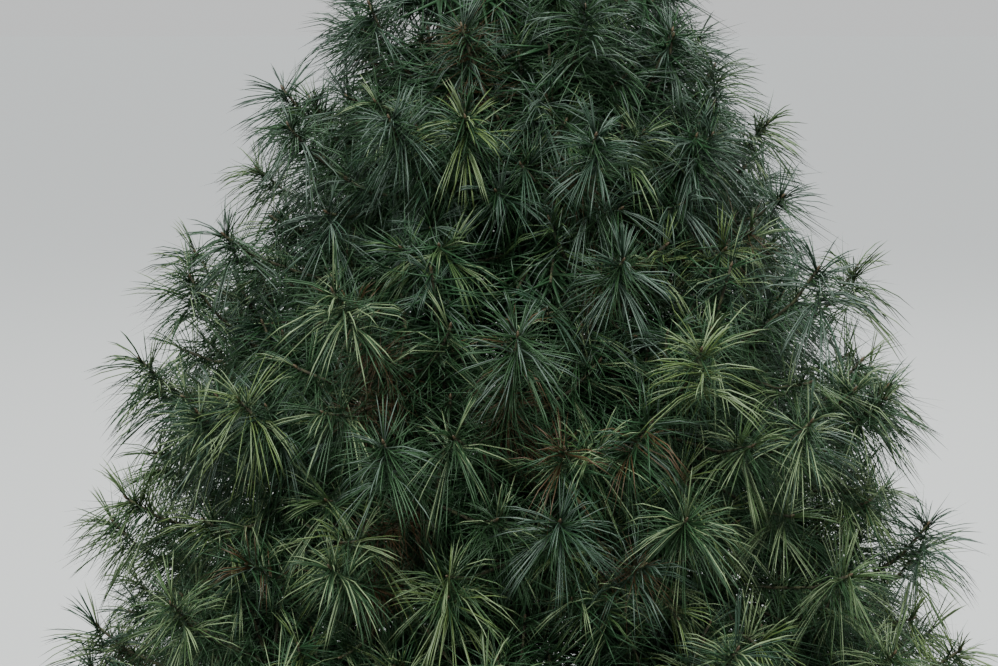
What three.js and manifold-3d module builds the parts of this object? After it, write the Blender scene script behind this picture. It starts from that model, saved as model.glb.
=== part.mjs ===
// A young sheared pine, whole from the cut at ground level to its leader: one straight trunk, whorls of
// boughs round it, and at the end of each bough a dense mass of long-needled sprays. Millimetres, +Z up,
// the origin at the middle of the trunk's foot. The side that is seen first faces -Y.
import * as THREE from "three";
import { mergeVertices } from "three/addons/utils/BufferGeometryUtils.js";
import Module from "manifold-3d";

const wasm = await Module();
wasm.setup();

const CLEAR = 0.3; // between solids that touch on the real tree
const FRONT = -90; // bearing of the side that is seen first

// Trunk
const TRUNK_HEIGHT = 1840;
const TRUNK_FOOT_RADIUS = 35;
const TRUNK_TIP_RADIUS = 7;
const TRUNK_SIDES = 14;
const TRUNK_STEPS = 13;
const TRUNK_STEP_EASE = 1.6; // crowds the steps towards the root flare
const FLARE = 14;
const FLARE_HEIGHT = 75;
const FLARE_LOBES = 5;
const FLARE_LOBE_SHARE = 0.28;
const LEAN = 0.026; // sideways along +X for each unit of height

// Limbs
const BOUGH_SHARE = 0.47; // of the limb's length, before it enters its mass
const BOUGH_SIDES = 6;
const BOUGH_STEPS = 3;
const STEM_SIDES = 6;
const STEM_STEPS = 2;
const STEM_END = 0.94; // share of the limb's length where the stem passes into the first spray's twig
const STEM_TIP_RADIUS = 4.5;
const LIMB_SAG = 0.07; // share of its length
const LIMB_SAG_AT = 0.55;
const TWIG_RADIUS = 3.6;
const TWIG_ANGLE = 48; // degrees between a twig and its stem
const FIRST_FORK = 0.06; // share of the limb's length from its joint to the first twig
const LAST_FORK = 0.91;
const FORK_SPREAD = 0.3; // share of the limb's length over which the twigs fork off
const FORK_TRIES = 12;

// Sprays: a shoot at the end of a twig, set round with needles that each stand for a bundle of real ones
const SHOOT_LENGTH = 115;
const SHOOT_RADIUS = 16;
const SHOOT_SIDES = 4;
// Each level is at a share of the shoot's length. Needles stand on the faces between it and the next one,
// at the angles given in degrees: low on the faces that rest on this level, high on those that hang from
// the next.
const SHOOT_LEVELS = [
  { along: 0, width: 0.28, high: 80 },
  { along: 0.4, width: 1, low: 68, high: 50 },
  { along: 0.78, width: 0.8, low: 25 },
];
const NEEDLE_LENGTH = 172;
const NEEDLE_SHORTEST = 0.86; // of that length, where there is room for the whole needle
const NEEDLE_DROOP = 0.16;
const NEEDLE_HALF_WIDTH = 17; // where its blade leaves the shoot
const NEEDLE_SHARES = [1, 0.85, 0.7, 0.55]; // of its length, tried in turn where it has little room
const NEEDLE_TRIES = 3;
const NEEDLE_TURN = 7; // degrees by which its way is varied
const NEEDLE_PROBES = [0.12, 0.25, 0.4, 0.55, 0.7, 0.85, 1]; // where along it the room is tested

// The crown's tiers, lowest first: the limbs of each, then its outline. Each tier reaches from its foot, at
// the crown's surface, up to the next tier's, and its radius goes from wide to narrow. turn and pitch are
// degrees, whorl is where the boughs leave the trunk, tuck draws the foot in, rise is the slope of the seam
// under the tier, and wave is how far that seam dips under each mass.
const TIERS = [
  {
    name: "bottom", boughs: 6, turn: 42, whorl: 205, rootRadius: 12.5, sprays: 7, pitch: 24, size: 1,
    foot: 150, wide: 740, narrow: 720, tuck: 0.1, rise: 0.03, wave: 0,
  },
  {
    name: "lower", boughs: 6, turn: 12, whorl: 430, rootRadius: 12, sprays: 7, pitch: 32, size: 1,
    foot: 540, wide: 718, narrow: 620, tuck: 0, rise: 0.35, wave: 50,
  },
  {
    name: "middle", boughs: 6, turn: 42, whorl: 815, rootRadius: 10.5, sprays: 6, pitch: 37, size: 1,
    foot: 890, wide: 610, narrow: 515, tuck: 0, rise: 0.35, wave: 50,
  },
  {
    name: "upper", boughs: 5, turn: 14, whorl: 1225, rootRadius: 8.5, sprays: 5, pitch: 44, size: 0.92,
    foot: 1262, wide: 475, narrow: 280, tuck: 0, rise: 0.37, wave: 45,
  },
  {
    name: "top", boughs: 4, turn: 55, whorl: 1580, rootRadius: 5.5, sprays: 4, pitch: 58, size: 0.78,
    foot: 1590, wide: 275, narrow: 150, tuck: 0, rise: 0.37, wave: 25,
  },
];
const LEADER = {
  foot: 1850, wide: 125, rise: 0.4, size: 0.8, stemEnd: 0.6,
  uprightPitch: 88, uprightFork: 0.4, ringSprays: 3, ringPitch: 70, ringFork: 0.2, ringLength: 24,
};
const CROWN_TOP = 2100;
const TIP_SHARE = 0.62; // of a needle's length, by which the leader's needles pass its shoot
const RING_ACROSS = 0.66; // how far out in its space a mass's ring of sprays stands
const RING_UP = 0.62;
const SPRAY_DROP = 38; // sprays reach up and out, so their roots stand this far below the middle of the tier
const PITCH_SPREAD = 17; // degrees
const PITCH_VARIES = 5;
const FAN_SPREAD = 24;
const RING_VARIES = 0.15; // radians round the ring
const RING_SPREADS = 0.1; // share of its width
const LOBE = 0.05; // how far a mass rounds back towards its sides
const SPACE_MARGIN = 2.5;

// Colours
const BARK = 0x4b4035;
const DEEP_GREEN = new THREE.Color(0x2b4429);
const LIGHT_GREEN = new THREE.Color(0x566b45);

const UP = new THREE.Vector3(0, 0, 1);
const radians = THREE.MathUtils.degToRad;
const lerp = THREE.MathUtils.lerp;

// A number from 0 to 1 that is always the same for the same three keys.
function chance(a, b, c) {
  const s = Math.sin(a * 12.9898 + b * 78.233 + c * 37.719) * 43758.5453;
  return s - Math.floor(s);
}

const vary = (a, b, c, amount) => (2 * chance(a, b, c) - 1) * amount;

function heading(bearing, pitch) {
  const level = Math.cos(pitch);
  return new THREE.Vector3(Math.cos(bearing) * level, Math.sin(bearing) * level, Math.sin(pitch));
}

function trunkAxis(z) {
  return new THREE.Vector3(LEAN * z, 0, z);
}

function trunkRadius(z, bearing = 0) {
  const taper = lerp(TRUNK_FOOT_RADIUS, TRUNK_TIP_RADIUS, Math.min(z / TRUNK_HEIGHT, 1));
  const lobes = 1 + FLARE_LOBE_SHARE * Math.cos(FLARE_LOBES * bearing);
  return taper + FLARE * lobes * Math.exp(-z / FLARE_HEIGHT);
}

// A closed solid from a three.js geometry.
function solidOf(geometry) {
  const bare = geometry.clone();
  bare.deleteAttribute("normal");
  bare.deleteAttribute("uv");
  const merged = mergeVertices(bare, 1e-4);
  return new wasm.Manifold(
    new wasm.Mesh({
      numProp: 3,
      vertProperties: new Float32Array(merged.attributes.position.array),
      triVerts: new Uint32Array(merged.index.array),
    }),
  );
}

// A named mesh of a solid, placed at the point where it grows from what carries it.
function meshOf(name, solid, origin, material) {
  const made = solid.getMesh();
  const geometry = new THREE.BufferGeometry();
  geometry.setAttribute("position", new THREE.BufferAttribute(made.vertProperties, 3));
  geometry.setIndex(new THREE.BufferAttribute(made.triVerts, 1));
  geometry.translate(-origin.x, -origin.y, -origin.z);
  geometry.computeVertexNormals();
  const mesh = new THREE.Mesh(geometry, material);
  mesh.name = name;
  mesh.position.copy(origin);
  return mesh;
}

const barkMaterial = () => new THREE.MeshStandardMaterial({ color: BARK, roughness: 0.9, metalness: 0 });

function needleMaterial(key) {
  const color = DEEP_GREEN.clone().lerp(LIGHT_GREEN, chance(key, 0, 8));
  return new THREE.MeshStandardMaterial({ color, roughness: 0.6, metalness: 0 });
}

// The trunk: level rings round its leaning axis, lobed at the root flare.
function trunkSolid(extra) {
  const geometry = new THREE.CylinderGeometry(1, 1, 1, TRUNK_SIDES, TRUNK_STEPS);
  const place = geometry.attributes.position;
  for (let i = 0; i < place.count; i++) {
    const z = TRUNK_HEIGHT * Math.pow(place.getY(i) + 0.5, TRUNK_STEP_EASE);
    const across = Math.hypot(place.getX(i), place.getZ(i));
    const bearing = Math.atan2(-place.getZ(i), place.getX(i));
    const r = across < 0.5 ? 0 : trunkRadius(z, bearing) + extra;
    place.setXYZ(i, LEAN * z + r * Math.cos(bearing), r * Math.sin(bearing), z);
  }
  return solidOf(geometry);
}

// A tapering limb along a stretch of a curve.
function limbSolid(curve, [from, to], [fromRadius, toRadius], sides, steps) {
  const geometry = new THREE.CylinderGeometry(1, 1, 1, sides, steps);
  const place = geometry.attributes.position;
  for (let i = 0; i < place.count; i++) {
    const share = place.getY(i) + 0.5;
    const t = lerp(from, to, share);
    const along = curve.getTangent(t);
    const side = new THREE.Vector3().crossVectors(along, UP).normalize();
    const other = new THREE.Vector3().crossVectors(side, along);
    const r = lerp(fromRadius, toRadius, share);
    const p = curve.getPoint(t);
    p.addScaledVector(side, r * place.getX(i)).addScaledVector(other, r * place.getZ(i));
    place.setXYZ(i, p.x, p.y, p.z);
  }
  return solidOf(geometry);
}

// The height of the seam under a tier. The last seam is the one under the leader's foliage.
function seam(tier, r, bearing) {
  if (tier === TIERS.length) return LEADER.foot - LEADER.rise * (LEADER.wide - r);
  const { foot, wide, rise, wave, boughs, turn } = TIERS[tier];
  return foot - rise * (wide - r) - wave * (r / wide) * Math.cos(boughs * (bearing - radians(FRONT + turn)));
}

// Whether a point lies in a mass's own space, between its neighbours' and clear of the trunk.
function inSpace(space, p, margin) {
  const axis = trunkAxis(p.z);
  const r = Math.hypot(p.x - axis.x, p.y - axis.y);
  const bearing = Math.atan2(p.y - axis.y, p.x - axis.x);
  if (r < trunkRadius(p.z) + margin && p.z < TRUNK_HEIGHT + margin) return false;
  if (p.z < seam(space.tier, r, bearing) + margin) return false;
  if (space.tier < TIERS.length && p.z > seam(space.tier + 1, r, bearing) - margin) return false;
  if (space.half >= Math.PI) return true;
  const turned = bearing - space.bearing;
  const off = Math.abs(Math.atan2(Math.sin(turned), Math.cos(turned)));
  return off < space.half && r * Math.sin(space.half - off) > margin;
}

// A straight strand of a mass, with its radius at each end, kept so that others can pass clear of it.
function strand(start, end, startRadius, endRadius) {
  return { line: new THREE.Line3(start, end), startRadius, endRadius };
}

// Whether a point with some thickness round it touches none of the strands.
function clearOf(strands, p, radius) {
  const nearest = new THREE.Vector3();
  return strands.every(({ line, startRadius, endRadius }) => {
    const t = line.closestPointToPointParameter(p, true);
    line.at(t, nearest);
    return nearest.distanceTo(p) > radius + lerp(startRadius, endRadius, t);
  });
}

// The end of a needle that grows from the middle of a face of its shoot, or null where there is no room.
function needleEnd(space, spray, middle, angle, index) {
  const { root, along, size, key } = spray;
  const outward = middle.clone().sub(root);
  outward.addScaledVector(along, -outward.dot(along)).normalize();
  const full = size * NEEDLE_LENGTH * lerp(NEEDLE_SHORTEST, 1, chance(space.key, key, index));
  for (const share of NEEDLE_SHARES) {
    for (let attempt = 0; attempt < NEEDLE_TRIES; attempt++) {
      const tilt = radians(angle + vary(space.key, key, index + 40.3 * (attempt + 1), NEEDLE_TURN));
      const turn = radians(vary(space.key, key, index + 50.7 * (attempt + 1), NEEDLE_TURN));
      const way = outward.clone().applyAxisAngle(along, turn).multiplyScalar(Math.sin(tilt));
      way.addScaledVector(along, Math.cos(tilt));
      const end = middle.clone().addScaledVector(way, full * share);
      end.z -= NEEDLE_DROOP * full * share * share;
      const free = NEEDLE_PROBES.every((s) => {
        const p = middle.clone().lerp(end, s);
        const half = size * NEEDLE_HALF_WIDTH * (1 - s);
        return inSpace(space, p, SPACE_MARGIN + half) && clearOf(space.strands, p, half + 1);
      });
      if (free) return end;
    }
  }
  return null;
}

// A spray with its twig, in one skin: level by level along the twig and the shoot, with a needle raised on
// each face of the shoot that has an angle for one.
function spraySolid(space, spray) {
  const { from, root, along, size, key } = spray;
  const points = [];
  const faces = [];
  const add = (p) => points.push(p) - 1;
  const onShoot = (share) => root.clone().addScaledVector(along, size * SHOOT_LENGTH * share);
  const twist = chance(space.key, key, 1) * Math.PI;
  const side = new THREE.Vector3().crossVectors(along, UP).normalize();
  const other = new THREE.Vector3().crossVectors(side, along);

  function ring(centre, axis, r, turn) {
    const bend = new THREE.Quaternion().setFromUnitVectors(along, axis);
    return Array.from({ length: SHOOT_SIDES }, (_, k) => {
      const angle = twist + (2 * Math.PI * (k + turn)) / SHOOT_SIDES;
      const p = side.clone().multiplyScalar(r * Math.cos(angle)).addScaledVector(other, -r * Math.sin(angle));
      return add(p.applyQuaternion(bend).add(centre));
    });
  }

  function face(a, b, c, angle) {
    const middle = points[a].clone().add(points[b]).add(points[c]).divideScalar(3);
    const end = angle ? needleEnd(space, spray, middle, angle, faces.length + 3) : null;
    if (!end) {
      faces.push([a, b, c]);
      return;
    }
    const tip = add(end);
    faces.push([a, b, tip], [b, c, tip], [c, a, tip]);
    spray.strands.push(strand(middle, end, size * NEEDLE_HALF_WIDTH, 0));
  }

  const twigWay = root.clone().sub(from).normalize();
  const rings = [ring(from, twigWay, TWIG_RADIUS, 0.5)];
  SHOOT_LEVELS.forEach((level, i) => {
    rings.push(ring(onShoot(level.along), along, size * SHOOT_RADIUS * level.width, i % 2 ? 0.5 : 0));
  });
  const foot = add(from.clone());
  const tip = add(onShoot(1));
  rings.forEach((lower, i) => {
    const level = i > 0 ? SHOOT_LEVELS[i - 1] : {};
    const upper = rings[i + 1];
    const shift = i % 2 ? 0 : 1;
    for (let k = 0; k < SHOOT_SIDES; k++) {
      const next = (k + 1) % SHOOT_SIDES;
      if (i === 0) face(foot, lower[next], lower[k]);
      if (!upper) {
        face(lower[k], lower[next], tip, level.low);
        continue;
      }
      const above = (k + shift) % SHOOT_SIDES;
      face(lower[k], lower[next], upper[above], level.low);
      face(upper[above], lower[next], upper[(above + 1) % SHOOT_SIDES], level.high);
    }
  });
  const geometry = new THREE.BufferGeometry().setFromPoints(points);
  geometry.setIndex(faces.flat());
  return solidOf(geometry);
}

// Where a spray of a mass stands. across and up run from -1 to 1 over the mass's space.
function sprayAt(space, key, across, up) {
  const { foot, wide, narrow, tuck, size, pitch } = TIERS[space.tier];
  const rising = radians(pitch + PITCH_SPREAD * up + vary(space.key, key, 2, PITCH_VARIES));
  const forward = (SHOOT_LENGTH + NEEDLE_LENGTH) * Math.cos(rising);
  const reach = size * Math.max(forward, 0.5 * SHOOT_LENGTH + NEEDLE_LENGTH);
  const bearing = space.bearing + across * space.half;
  const room = (2 * size * SHOOT_RADIUS) / Math.sin(space.half * (1 - Math.abs(across)));
  const head = seam(space.tier + 1, narrow, bearing);
  let r = wide - reach;
  let z = foot;
  for (let pass = 0; pass < 4; pass++) {
    z = lerp(seam(space.tier, r, bearing), seam(space.tier + 1, r, bearing), (1 + up) / 2) - SPRAY_DROP;
    const share = THREE.MathUtils.clamp((z + SPRAY_DROP - foot) / (head - foot), 0, 1);
    const surface = lerp(wide, narrow, share) * (1 - LOBE * across ** 2 - tuck * (1 - share) ** 2);
    r = Math.max(surface - reach, trunkRadius(z) + room);
  }
  return {
    key,
    size,
    root: trunkAxis(z).addScaledVector(heading(bearing, 0), r),
    along: heading(bearing + radians(across * FAN_SPREAD), rising),
    strands: [],
  };
}

// A mass's sprays: the first ends the stem, and the rest ring it.
function spraysOf(space) {
  const count = TIERS[space.tier].sprays - 1;
  const sprays = [sprayAt(space, 0, vary(space.key, 0, 5, 0.06), vary(space.key, 0, 6, 0.08))];
  for (let i = 1; i <= count; i++) {
    const stagger = 0.5 * (space.number % 2);
    const angle = (2 * Math.PI * (i + stagger)) / count + vary(space.key, i, 5, RING_VARIES);
    const out = 1 + vary(space.key, i, 6, RING_SPREADS);
    sprays.push(sprayAt(space, i, RING_ACROSS * out * Math.cos(angle), RING_UP * out * Math.sin(angle)));
  }
  return sprays;
}

// The whole limb from the trunk's axis to the first spray, a little slack under its own weight.
function limbCurve(whorl, end) {
  const start = trunkAxis(whorl);
  const middle = start.clone().lerp(end, LIMB_SAG_AT);
  middle.z -= LIMB_SAG * start.distanceTo(end);
  return new THREE.QuadraticBezierCurve3(start, middle, end);
}

// Where the twig of a spray leaves the stem: near the place that lets it fork off most nearly at its usual
// angle, one twig after the other along the stem.
function forkPoint(stem, first, root, order) {
  let best = Infinity;
  let fork = first;
  for (let t = first; t < LAST_FORK; t += (LAST_FORK - first) / FORK_TRIES) {
    const way = root.clone().sub(stem.getPoint(t));
    const off = Math.abs(way.angleTo(stem.getTangent(t)) - radians(TWIG_ANGLE));
    if (off < best) {
      best = off;
      fork = t;
    }
  }
  return stem.getPoint(THREE.MathUtils.clamp(fork + FORK_SPREAD * (order - 0.5), first, LAST_FORK));
}

// One body out of many: what fusing seals is filled, and loose scraps are dropped.
function fuse(pieces) {
  const bodies = wasm.Manifold.union(pieces).decompose();
  bodies.sort((a, b) => b.volume() - a.volume());
  return bodies[0];
}

// A mass: the stem, and each spray fused to it by its twig. Every spray's shoot and twig are known before
// the first needle grows, so that needles keep clear of them.
function massSolid(space, stem, sprays) {
  for (const spray of sprays) {
    const tip = spray.root.clone().addScaledVector(spray.along, spray.size * SHOOT_LENGTH);
    spray.strands.push(strand(spray.root, tip, spray.size * SHOOT_RADIUS, 1));
    spray.strands.push(strand(spray.from, spray.root, TWIG_RADIUS, TWIG_RADIUS));
  }
  const pieces = sprays.map((spray) => {
    const others = sprays.filter((other) => other !== spray).flatMap((other) => other.strands);
    return spraySolid({ ...space, strands: [...space.limbs, ...others] }, spray);
  });
  return fuse([stem, ...pieces]);
}

// One limb of a whorl: the bough, and the mass of foliage that the rest of the limb carries. The top tier's
// masses are too near the trunk for a bough, and grow from the trunk itself.
function limbMeshes(tier, number, trunkClear) {
  const { name, boughs, turn, whorl, rootRadius } = TIERS[tier];
  const half = Math.PI / boughs;
  const bearing = radians(FRONT + turn) + 2 * half * number;
  const space = { tier, number, key: 10 * tier + number, bearing, half };
  const sprays = spraysOf(space);
  const limb = limbCurve(whorl, sprays[0].root);
  const share = tier === TIERS.length - 1 ? 0 : BOUGH_SHARE;
  const joint = share > 0 ? share + CLEAR / limb.getLength() : 0;
  const jointRadius = lerp(rootRadius, STEM_TIP_RADIUS, share);
  const stem = limbSolid(limb, [joint, STEM_END], [jointRadius, STEM_TIP_RADIUS], STEM_SIDES, STEM_STEPS);
  space.limbs = [
    strand(limb.getPoint(0), limb.getPoint(share), rootRadius, jointRadius),
    strand(limb.getPoint(share), limb.getPoint(STEM_END), jointRadius, STEM_TIP_RADIUS),
  ];
  sprays.forEach((spray, i) => {
    const order = i / (sprays.length - 1);
    spray.from = i === 0 ? limb.getPoint(LAST_FORK) : forkPoint(limb, joint + FIRST_FORK, spray.root, order);
  });
  const mass = massSolid(space, stem, sprays);
  const foliage = `foliage_${name}_${number + 1}`;
  if (share === 0) {
    return [meshOf(foliage, fuse([mass.subtract(trunkClear)]), trunkAxis(whorl), needleMaterial(space.key))];
  }
  const bough = limbSolid(limb, [0, share], [rootRadius, jointRadius], BOUGH_SIDES, BOUGH_STEPS);
  return [
    meshOf(`bough_${name}_${number + 1}`, bough.subtract(trunkClear), trunkAxis(whorl), barkMaterial()),
    meshOf(foliage, mass, limb.getPoint(share), needleMaterial(space.key)),
  ];
}

// The leader: an upright spray on the trunk's tip, with a ring of others at its foot.
function leaderMesh() {
  const { size, stemEnd, uprightPitch, uprightFork, ringSprays, ringPitch, ringFork, ringLength } = LEADER;
  const space = { tier: TIERS.length, key: 10 * TIERS.length, half: Math.PI, limbs: [] };
  const foot = trunkAxis(TRUNK_HEIGHT + CLEAR + LEAN * TRUNK_TIP_RADIUS);
  const head = trunkAxis(CROWN_TOP - size * (SHOOT_LENGTH + TIP_SHARE * NEEDLE_LENGTH));
  const line = new THREE.LineCurve3(foot, head);
  const upright = heading(0, radians(uprightPitch));
  const uprightFrom = line.getPoint(uprightFork);
  const sprays = [{ key: 0, size, from: uprightFrom, root: head, along: upright, strands: [] }];
  for (let i = 1; i <= ringSprays; i++) {
    const bearing = (2 * Math.PI * i) / ringSprays + vary(space.key, i, 5, RING_VARIES);
    const along = heading(bearing, radians(ringPitch + vary(space.key, i, 2, PITCH_VARIES)));
    const from = line.getPoint(ringFork);
    const root = from.clone().addScaledVector(along, ringLength);
    sprays.push({ key: i, size, from, root, along, strands: [] });
  }
  const stem = limbSolid(line, [0, stemEnd], [TRUNK_TIP_RADIUS, STEM_TIP_RADIUS], STEM_SIDES, 1);
  return meshOf("foliage_leader", massSolid(space, stem, sprays), foot, needleMaterial(space.key));
}

const tree = new THREE.Group();
const trunkClear = trunkSolid(CLEAR);
tree.add(meshOf("trunk", trunkSolid(0), new THREE.Vector3(), barkMaterial()));
TIERS.forEach(({ boughs }, tier) => {
  const whorl = new THREE.Group();
  for (let number = 0; number < boughs; number++) whorl.add(...limbMeshes(tier, number, trunkClear));
  tree.add(whorl);
});
tree.add(leaderMesh());

export default tree;
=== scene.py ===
"""The looks of a young sheared pine: its bark, twigs, buds and long needles, grown by the model's rule."""

import math

import bpy
import numpy as np
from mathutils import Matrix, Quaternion, Vector


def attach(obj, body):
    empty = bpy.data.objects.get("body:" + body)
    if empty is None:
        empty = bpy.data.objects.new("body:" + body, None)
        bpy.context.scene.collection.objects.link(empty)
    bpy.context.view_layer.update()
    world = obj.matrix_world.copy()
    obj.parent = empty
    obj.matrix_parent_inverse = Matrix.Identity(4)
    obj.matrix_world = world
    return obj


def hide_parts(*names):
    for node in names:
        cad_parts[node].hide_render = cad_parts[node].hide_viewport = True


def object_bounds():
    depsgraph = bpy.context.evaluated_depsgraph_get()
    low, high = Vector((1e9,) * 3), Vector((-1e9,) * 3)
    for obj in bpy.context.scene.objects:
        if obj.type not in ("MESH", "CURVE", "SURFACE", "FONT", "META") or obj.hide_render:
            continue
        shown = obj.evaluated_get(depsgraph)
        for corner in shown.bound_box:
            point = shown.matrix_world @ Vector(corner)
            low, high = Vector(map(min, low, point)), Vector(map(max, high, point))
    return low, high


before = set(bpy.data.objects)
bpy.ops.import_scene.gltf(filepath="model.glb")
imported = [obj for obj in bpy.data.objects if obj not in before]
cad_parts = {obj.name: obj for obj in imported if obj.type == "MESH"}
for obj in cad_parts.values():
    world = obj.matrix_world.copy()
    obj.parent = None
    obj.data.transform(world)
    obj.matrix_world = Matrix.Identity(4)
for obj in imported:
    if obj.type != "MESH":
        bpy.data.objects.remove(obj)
bpy.ops.object.select_all(action="DESELECT")
cad_low, cad_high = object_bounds()

# The camera stands at eye level, 2.5 m in front of the trunk, and looks a little down at the crown, whose
# tip and foot run past the edges of the picture.
LEAN = 0.026
EYE_LEVEL = 1.55
CROWN_MIDDLE = 1.1
CAMERA_DISTANCE = 2.5
CAMERA_ASIDE = -0.034
CAMERA_DOWN = math.radians(9.8)
FOCAL_LENGTH = 64
SENSOR_WIDTH = 36
bpy.ops.object.camera_add(
    location=(LEAN * CROWN_MIDDLE + CAMERA_ASIDE, -CAMERA_DISTANCE, EYE_LEVEL),
    rotation=(math.pi / 2 - CAMERA_DOWN, 0, 0),
)
camera = bpy.context.object
camera.data.lens = FOCAL_LENGTH
camera.data.sensor_width = SENSOR_WIDTH
bpy.context.scene.camera = camera


# The studio: a wide pale floor that runs to the horizon, and the light of an overcast day. A broad soft
# source stands high in front and a dimmer one high behind, over a sky that darkens towards the ground.
class Value:
    """A node socket that can be added, multiplied and so on like a number."""

    def __init__(self, shader, socket):
        self.shader = shader
        self.socket = socket

    def maths(self, operation, *others):
        return self.shader.node("Math", {"operation": operation}, dict(enumerate((self, *others))))

    def __add__(self, other):
        return self.maths("ADD", other)

    def __mul__(self, other):
        return self.maths("MULTIPLY", other)


class Shader:
    """A material under construction, with one method for every kind of node."""

    def __init__(self, name):
        self.material = bpy.data.materials.new(name)
        self.material.use_nodes = True
        self.tree = self.material.node_tree
        self.surface = self.tree.nodes["Principled BSDF"]

    def node(self, kind, settings=None, inputs=None, output=0):
        made = self.tree.nodes.new("ShaderNode" + kind)
        for key, value in (settings or {}).items():
            if key == "stops":
                self.set_stops(made.color_ramp, value)
            else:
                setattr(made, key, value)
        self.feed(made, inputs or {})
        return Value(self, made.outputs[output])

    def set_stops(self, ramp, stops):
        for element, (place, color) in zip(ramp.elements, (stops[0], stops[-1])):
            element.position = place
            element.color = (*color, 1)
        for place, color in stops[1:-1]:
            ramp.elements.new(place).color = (*color, 1)

    def feed(self, node, inputs):
        for key, value in inputs.items():
            if isinstance(value, Value):
                self.tree.links.new(value.socket, node.inputs[key])
            elif value is not None:
                node.inputs[key].default_value = value

    def finish(self, **inputs):
        self.feed(self.surface, {key.replace("_", " "): value for key, value in inputs.items()})
        return self.material

    def place(self, stretch=(1, 1, 1)):
        where = self.node("TexCoord", output=3)
        return self.node("Mapping", inputs={"Vector": where, "Scale": stretch})


def linear(red, green, blue):
    """A colour given from 0 to 255, as on a screen, in the renderer's linear light."""
    shares = (red / 255, green / 255, blue / 255)
    return tuple(c / 12.92 if c < 0.0404 else ((c + 0.055) / 1.055) ** 2.4 for c in shares)


FLOOR_RADIUS = 300
FLOOR_SIDES = 96
FLOOR_COLOR = linear(200, 200, 197)
bpy.ops.mesh.primitive_circle_add(
    vertices=FLOOR_SIDES, radius=FLOOR_RADIUS, fill_type="NGON", location=(0, 0, 0)
)
floor = bpy.context.object
floor.name = "studio_floor"
floor.data.materials.append(Shader("pale_floor").finish(Base_Color=(*FLOOR_COLOR, 1), Roughness=0.9))
floor.visible_diffuse = False
floor.visible_glossy = False

ZENITH = linear(236, 241, 244)
BACKDROP = linear(226, 228, 228)
SKY_SHARES = ((0.45, 0.15), (0.5, 0.38), (0.7, 0.55), (1, 1))
SKY_STRENGTH = 2.0
world = bpy.data.worlds.new("overcast")
bpy.context.scene.world = world
world.use_nodes = True
sky = world.node_tree
height = sky.nodes.new("ShaderNodeSeparateXYZ")
sky.links.new(sky.nodes.new("ShaderNodeTexCoord").outputs["Generated"], height.inputs[0])
up = sky.nodes.new("ShaderNodeMapRange")
up.inputs["From Min"].default_value = -1
sky.links.new(height.outputs["Z"], up.inputs["Value"])
grade = sky.nodes.new("ShaderNodeValToRGB")
for _ in SKY_SHARES[2:]:
    grade.color_ramp.elements.new(0.5)
for element, (place, share) in zip(grade.color_ramp.elements, SKY_SHARES):
    element.position = place
    element.color = (*(c * share * SKY_STRENGTH for c in ZENITH), 1)
sky.links.new(up.outputs[0], grade.inputs[0])
seen = sky.nodes.new("ShaderNodeMixRGB")
seen.inputs["Color2"].default_value = (*BACKDROP, 1)
sky.links.new(sky.nodes.new("ShaderNodeLightPath").outputs["Is Camera Ray"], seen.inputs["Fac"])
sky.links.new(grade.outputs[0], seen.inputs["Color1"])
sky.links.new(seen.outputs[0], sky.nodes["Background"].inputs["Color"])

SKY_PANELS = (((-0.6, -4.4, 6.5), 590), ((1.2, 4.6, 6.0), 220))
SKY_PANEL_SIZE = 4.5
SKY_PANEL_COLOR = (0.97, 1.0, 0.99)
for place, energy in SKY_PANELS:
    bpy.ops.object.light_add(type="AREA", location=place)
    sky_panel = bpy.context.object
    sky_panel.data.shape = "DISK"
    sky_panel.data.size = SKY_PANEL_SIZE
    sky_panel.data.energy = energy
    sky_panel.data.color = SKY_PANEL_COLOR
    aim = Vector((0, 0, CROWN_MIDDLE)) - sky_panel.location
    sky_panel.rotation_euler = aim.to_track_quat("-Z", "Y").to_euler()
    sky_panel.visible_camera = False

# The trunk: one straight leader of living wood from the flat cut at ground level, leaning a little, with
# five low lobes at its root flare. Its thin bark is furrowed lengthways at the foot and smoother above.
TRUNK_HEIGHT = 1.84
TRUNK_FOOT_RADIUS = 0.035
TRUNK_TIP_RADIUS = 0.007
FLARE = 0.014
FLARE_HEIGHT = 0.075
FLARE_LOBES = 5
FLARE_LOBE_SHARE = 0.28
TRUNK_SIDES = 40
TRUNK_RINGS = 34
TRUNK_RING_EASE = 1.4
TRUNK_SPLITS = 2
LOBE_CLASSES = (-1, -0.5**0.5, 0.5**0.5, 1)
LOBE_MATCH = 0.05
RING_MATCH = 1e-4
CUT_MATCH = 1e-6
LOBED_HEIGHT = 4 * FLARE_HEIGHT


def lerp(a, b, share):
    return a + (b - a) * share


def trunk_axis(z):
    return Vector((LEAN * z, 0, z))


def trunk_radius(z, lobe=1):
    taper = lerp(TRUNK_FOOT_RADIUS, TRUNK_TIP_RADIUS, min(z / TRUNK_HEIGHT, 1))
    return taper + FLARE * (1 + FLARE_LOBE_SHARE * lobe) * math.exp(-z / FLARE_HEIGHT)


def select_points(made, chosen):
    """Selects the vertices of a mesh in edit mode that a test of their place picks."""
    bpy.ops.object.mode_set(mode="OBJECT")
    for vertex in made.data.vertices:
        vertex.select = chosen(vertex.co)
    for edge in made.data.edges:
        edge.select = all(made.data.vertices[i].select for i in edge.vertices)
    for polygon in made.data.polygons:
        polygon.select = all(made.data.vertices[i].select for i in polygon.vertices)
    bpy.ops.object.mode_set(mode="EDIT")


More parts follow.
